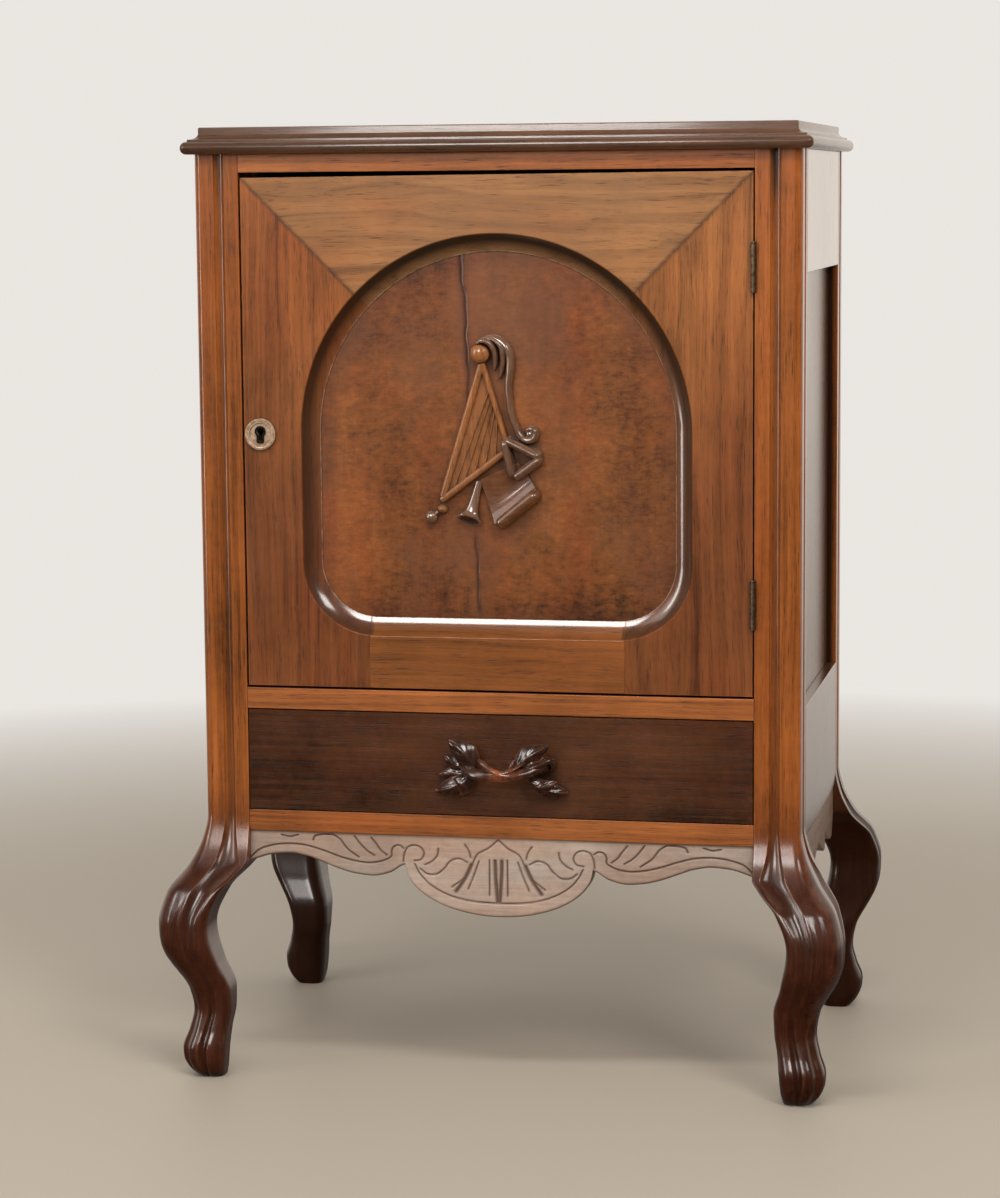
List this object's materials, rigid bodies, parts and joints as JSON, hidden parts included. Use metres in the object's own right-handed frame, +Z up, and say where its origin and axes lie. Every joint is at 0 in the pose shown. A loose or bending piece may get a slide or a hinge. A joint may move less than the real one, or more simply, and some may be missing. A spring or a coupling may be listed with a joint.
{
  "type": "music cabinet",
  "caption": "Upright music cabinet with one arched panelled door carved with a musical trophy, a drawer below it, shaped aprons and cabriole legs.",
  "frame": {"origin": "on the floor under the middle of the cabinet", "axes": "+Z up, +X to the viewer's right as seen from the front, -Y towards the viewer"},
  "size_m": [0.6136, 0.4236, 0.8503],
  "materials": {
    "dark_top": "dark stained walnut with worn wax",
    "post_walnut": "orange brown walnut with ribbon grain, darker towards the feet",
    "rail_walnut": "bright orange brown straight grained walnut",
    "side_walnut": "mid brown straight grained walnut",
    "apron_walnut": "greyish brown carved walnut",
    "door_walnut": "golden brown walnut with straight grain",
    "panel_burr": "mottled reddish brown walnut",
    "carved_walnut": "dark carved walnut with worn edges",
    "drawer_walnut": "dark brown walnut with polished highlights",
    "plain_wood": "plain unpolished softwood",
    "aged_brass": "aged brass with dark patina",
    "iron": "dark blackened iron"
  },
  "bodies": {
    "carcase": {"top_board": "dark_top", "front_left_leg": "post_walnut", "front_right_leg": "post_walnut", "rear_left_leg": "post_walnut", "rear_right_leg": "post_walnut", "top_front_rail": "rail_walnut", "middle_rail": "rail_walnut", "lower_rail": "rail_walnut", "rear_top_rail": "plain_wood", "rear_bottom_rail": "plain_wood", "left_top_rail": "side_walnut", "right_top_rail": "side_walnut", "left_bottom_rail": "side_walnut", "right_bottom_rail": "side_walnut", "left_panel": "side_walnut", "right_panel": "side_walnut", "back_panel": "plain_wood", "front_apron": "apron_walnut", "left_apron": "apron_walnut", "right_apron": "apron_walnut", "cabinet_floor": "plain_wood", "left_shelf_rack": "plain_wood", "right_shelf_rack": "plain_wood", "shelf_1": "plain_wood", "shelf_2": "plain_wood", "shelf_3": "plain_wood", "shelf_4": "plain_wood", "shelf_5": "plain_wood", "left_drawer_runner": "plain_wood", "right_drawer_runner": "plain_wood", "drawer_stops": "plain_wood", "corner_blocks": "plain_wood", "top_screws": "iron", "back_nails": "iron", "upper_hinge_frame_leaf": "aged_brass", "lower_hinge_frame_leaf": "aged_brass", "upper_hinge_pin": "aged_brass", "lower_hinge_pin": "aged_brass", "strike_plate": "aged_brass", "frame_screws": "aged_brass"},
    "door": {"door_top_rail": "door_walnut", "door_lock_stile": "door_walnut", "door_hinge_stile": "door_walnut", "door_bottom_rail": "door_walnut", "door_panel": "panel_burr", "carved_trophy": "carved_walnut", "escutcheon": "aged_brass", "lock_case": "aged_brass", "upper_hinge_door_leaf": "aged_brass", "lower_hinge_door_leaf": "aged_brass", "door_screws": "aged_brass"},
    "lock_bolt": {"lock_bolt": "iron"},
    "drawer": {"drawer_front": "drawer_walnut", "drawer_left_side": "plain_wood", "drawer_right_side": "plain_wood", "drawer_back": "plain_wood", "drawer_bottom": "plain_wood", "drawer_handle": "carved_walnut", "handle_screws": "iron"}
  },
  "joints": [
    {"name": "door_hinge", "type": "hinge", "parent": "carcase", "child": "door", "pos_m": [0.2263, -0.1753, 0.5827], "axis": [0, 0, 1], "range_deg": [0, 170]},
    {"name": "lock_bolt_slide", "type": "slide", "parent": "door", "child": "lock_bolt", "axis": [-1, 0, 0], "range_m": [0, 0.007]},
    {"name": "drawer_slide", "type": "slide", "parent": "carcase", "child": "drawer", "axis": [0, -1, 0], "range_m": [0, 0.22]}
  ]
}
